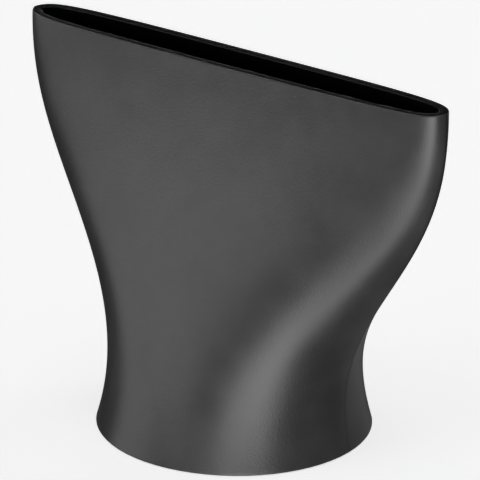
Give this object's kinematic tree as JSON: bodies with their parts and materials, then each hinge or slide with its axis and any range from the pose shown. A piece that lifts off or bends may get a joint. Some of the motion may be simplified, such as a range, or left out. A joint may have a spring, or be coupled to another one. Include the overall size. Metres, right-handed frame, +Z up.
{
  "type": "hair dryer concentrator nozzle",
  "caption": "Push-on air nozzle for a hair dryer: a round collar that blends through a creased waist into a long thin outlet slot.",
  "frame": {"origin": "centre of the round foot, on the plane that the nozzle stands on", "axes": "+Z up along the air's way, from the socket to the outlet slot; +X along the slot; +Y across it"},
  "size_m": [0.0894, 0.05, 0.0702],
  "materials": {
    "shell": "matt black moulded plastic with a fine grain"
  },
  "bodies": {
    "root": {"nozzle_shell": "shell"}
  },
  "joints": []
}
